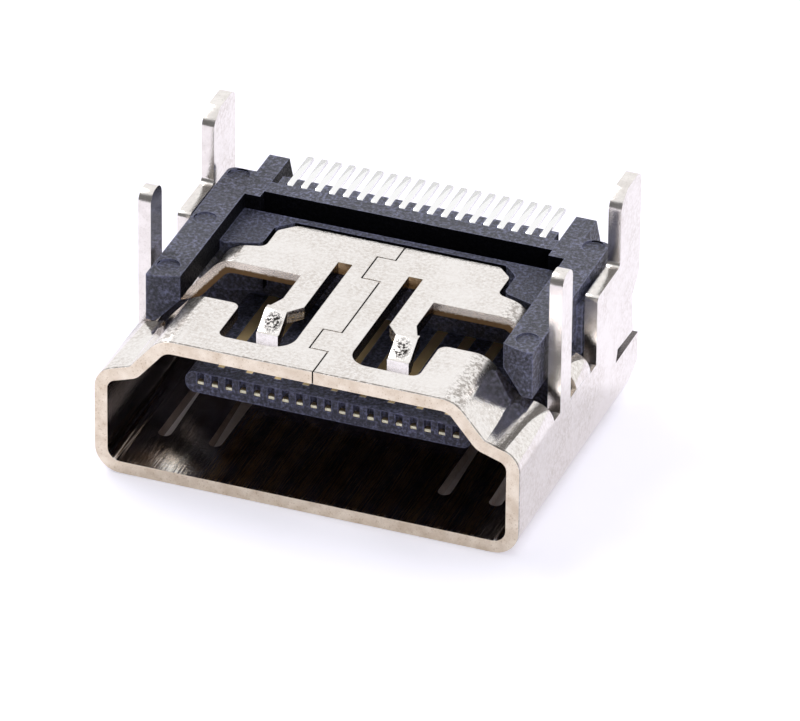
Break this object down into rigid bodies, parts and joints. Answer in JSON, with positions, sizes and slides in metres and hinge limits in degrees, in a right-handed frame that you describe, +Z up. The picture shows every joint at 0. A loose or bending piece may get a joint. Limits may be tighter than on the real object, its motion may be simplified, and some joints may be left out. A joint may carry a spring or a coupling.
{
  "type": "board mounted digital video and audio socket",
  "caption": "Plated sheet metal socket with a trapezoid mouth, dark moulded tongue and arms, a row of thin tails and upright board legs.",
  "frame": {"origin": "centre of the bounding box in plan, on the wide outer face that the socket lies on", "axes": "X across the mouth, +Y from the mouth to the tails, +Z up from the wide face to the board seat and the legs"},
  "size_m": [0.0148, 0.012, 0.0084],
  "materials": {
    "plated_shell": "bright nickel plate, faint rolling lines",
    "dark_moulding": "fine matte grain, slate black",
    "contact_metal": "gold plate on the blades, bright tin on the tails"
  },
  "bodies": {
    "root": {"shell": "plated_shell", "housing": "dark_moulding", "tail_comb": "dark_moulding", "contact_01": "contact_metal", "contact_02": "contact_metal", "contact_03": "contact_metal", "contact_04": "contact_metal", "contact_05": "contact_metal", "contact_06": "contact_metal", "contact_07": "contact_metal", "contact_08": "contact_metal", "contact_09": "contact_metal", "contact_10": "contact_metal", "contact_11": "contact_metal", "contact_12": "contact_metal", "contact_13": "contact_metal", "contact_14": "contact_metal", "contact_15": "contact_metal", "contact_16": "contact_metal", "contact_17": "contact_metal", "contact_18": "contact_metal", "contact_19": "contact_metal"}
  },
  "joints": []
}
